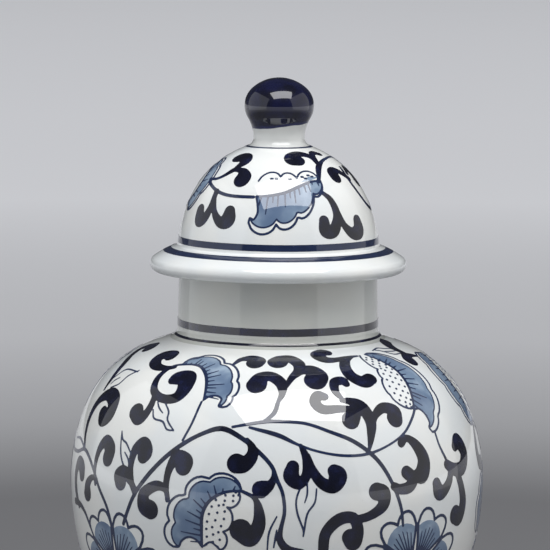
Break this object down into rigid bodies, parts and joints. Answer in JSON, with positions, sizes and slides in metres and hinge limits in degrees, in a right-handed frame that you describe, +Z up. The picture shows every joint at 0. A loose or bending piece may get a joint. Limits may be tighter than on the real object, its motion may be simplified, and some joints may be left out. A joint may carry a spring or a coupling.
{
  "type": "ginger jar",
  "caption": "Lidded ginger jar in blue-and-white porcelain, with round shoulders, a straight neck and a domed lid that lifts off by its knob.",
  "frame": {"origin": "centre of the foot ring's underside, on the jar's axis", "axes": "+Z up along the jar's axis of rotation, towards the lid's knob; -Y towards the viewer of the pictured side; +X to that viewer's right"},
  "size_m": [0.1904, 0.1904, 0.2976],
  "materials": {
    "glaze": "glossy clear glaze over white porcelain, painted under the glaze in cobalt blue",
    "cobalt": "glossy, deep navy cobalt under a clear glaze",
    "biscuit": "matt, unglazed fired porcelain"
  },
  "bodies": {
    "jar": {"foot_ring": "biscuit", "lower_body": "glaze", "upper_body": "glaze", "neck": "glaze"},
    "lid": {"lid_dome": "glaze", "lid_collar": "biscuit", "knob": "cobalt"}
  },
  "joints": [
    {"name": "lid_lift", "type": "slide", "parent": "jar", "child": "lid", "axis": [0, 0, 1], "range_m": [0, 0.1]}
  ]
}
